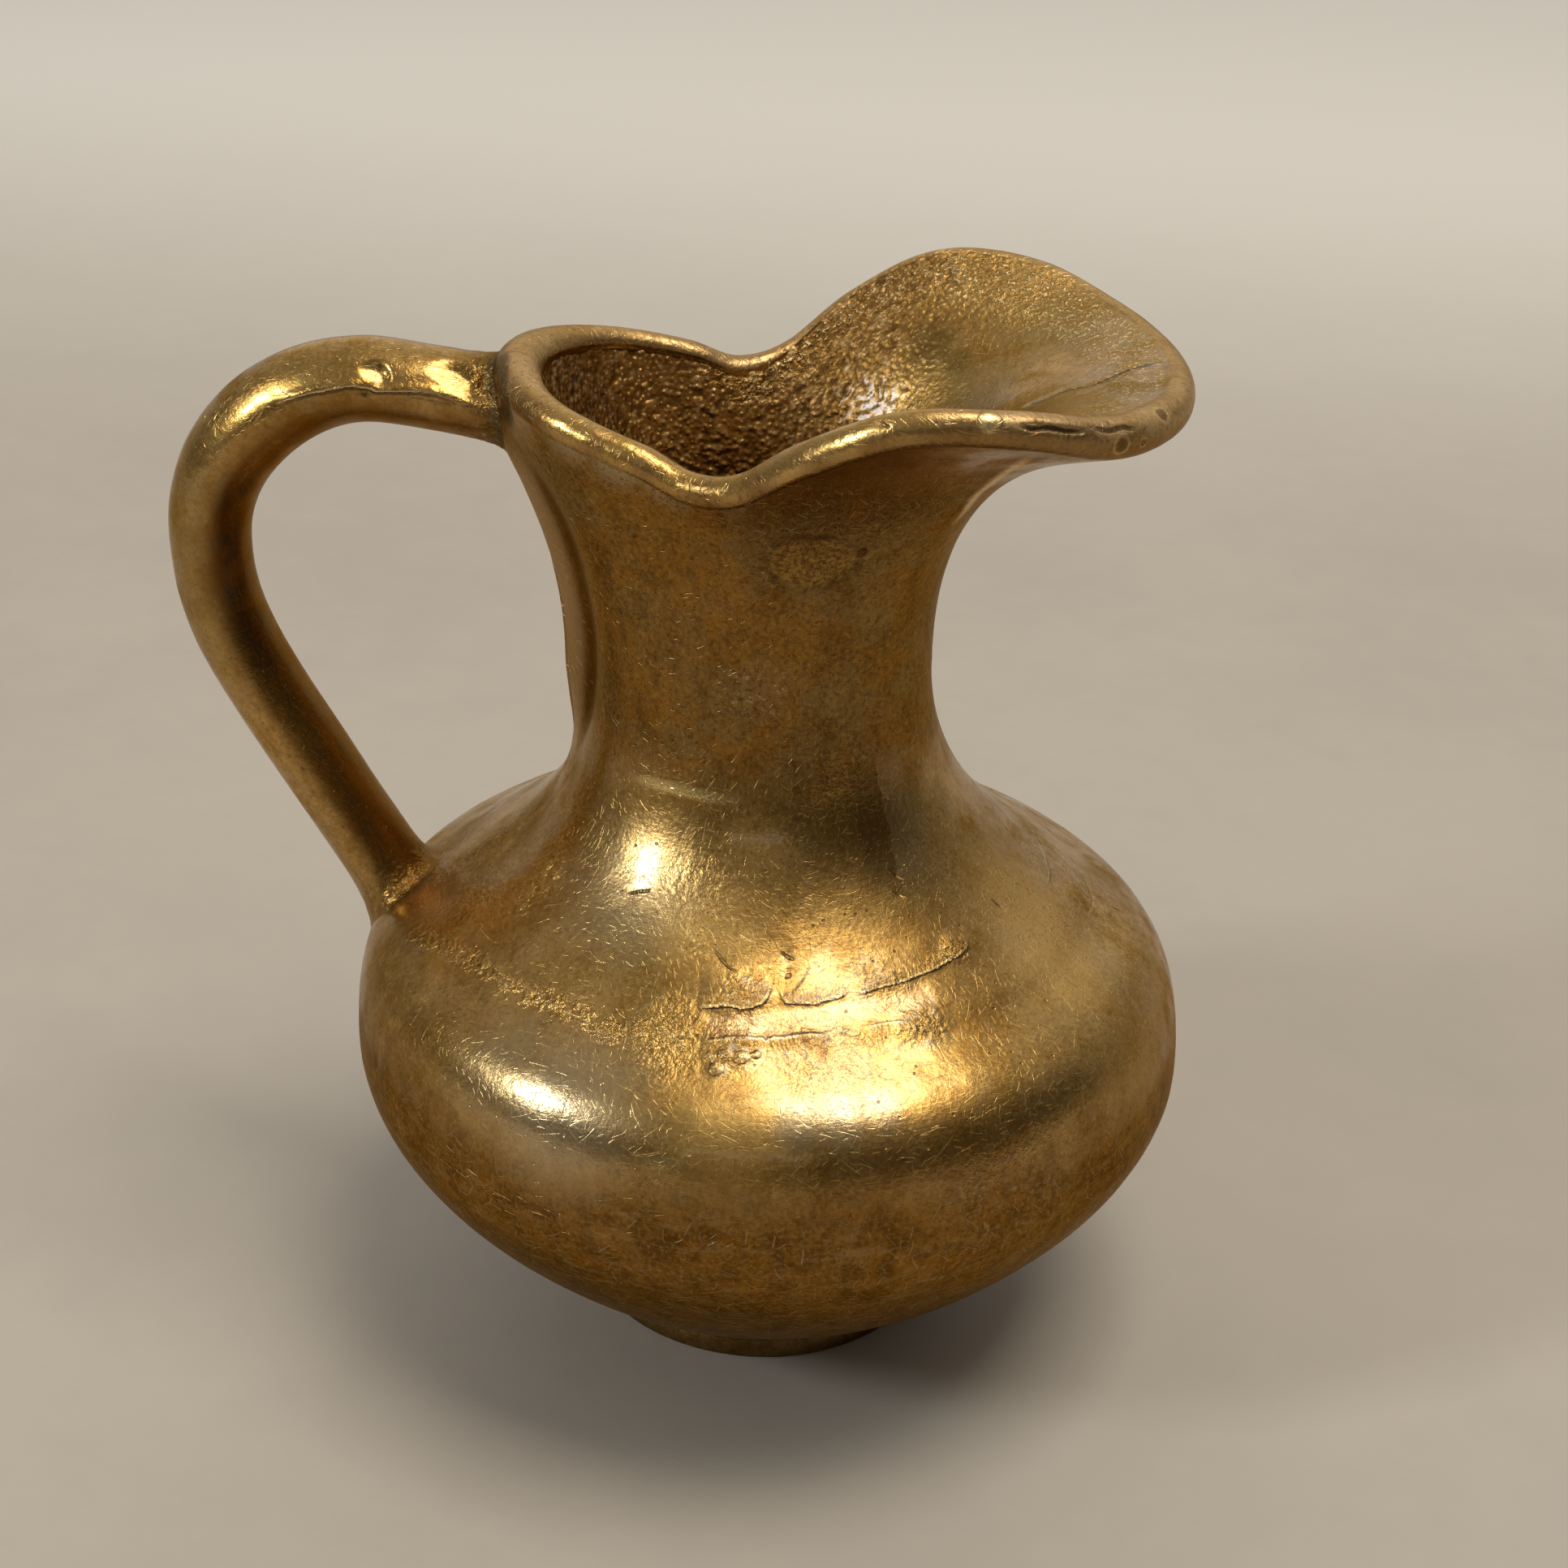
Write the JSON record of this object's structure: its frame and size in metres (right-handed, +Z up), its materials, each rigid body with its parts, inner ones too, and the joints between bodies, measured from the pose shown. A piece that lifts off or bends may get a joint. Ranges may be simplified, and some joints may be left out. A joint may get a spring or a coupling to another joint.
{
  "type": "pitcher",
  "caption": "Small cast brass pitcher with a squat round belly, narrow neck, pinched mouth with a wide flared spout, low foot and a looped bar handle.",
  "frame": {"origin": "point on the vessel's axis at the underside of the foot, which stands on z = 0", "axes": "+Z up, +X from the handle towards the spout, +Y across; the pitcher is symmetric about the plane y = 0"},
  "size_m": [0.0854, 0.07, 0.088],
  "materials": {
    "lower_bowl": "worn, brushed, orange-brown tarnish low down",
    "upper_body": "worn and polished outside, rough and granular inside",
    "shoulder_braze": "filed braze metal with pits and lap edges",
    "foot": "dull, greenish tarnish",
    "foot_braze": "dull braze fillet",
    "handle": "worn bright on the outer side, dark on the inner side",
    "handle_top_braze": "rough, porous braze metal",
    "handle_root_braze": "rough braze fillet"
  },
  "bodies": {
    "root": {"lower_bowl": "lower_bowl", "upper_body": "upper_body", "shoulder_braze": "shoulder_braze", "foot": "foot", "foot_braze": "foot_braze", "handle": "handle", "handle_top_braze": "handle_top_braze", "handle_root_braze": "handle_root_braze"}
  },
  "joints": []
}
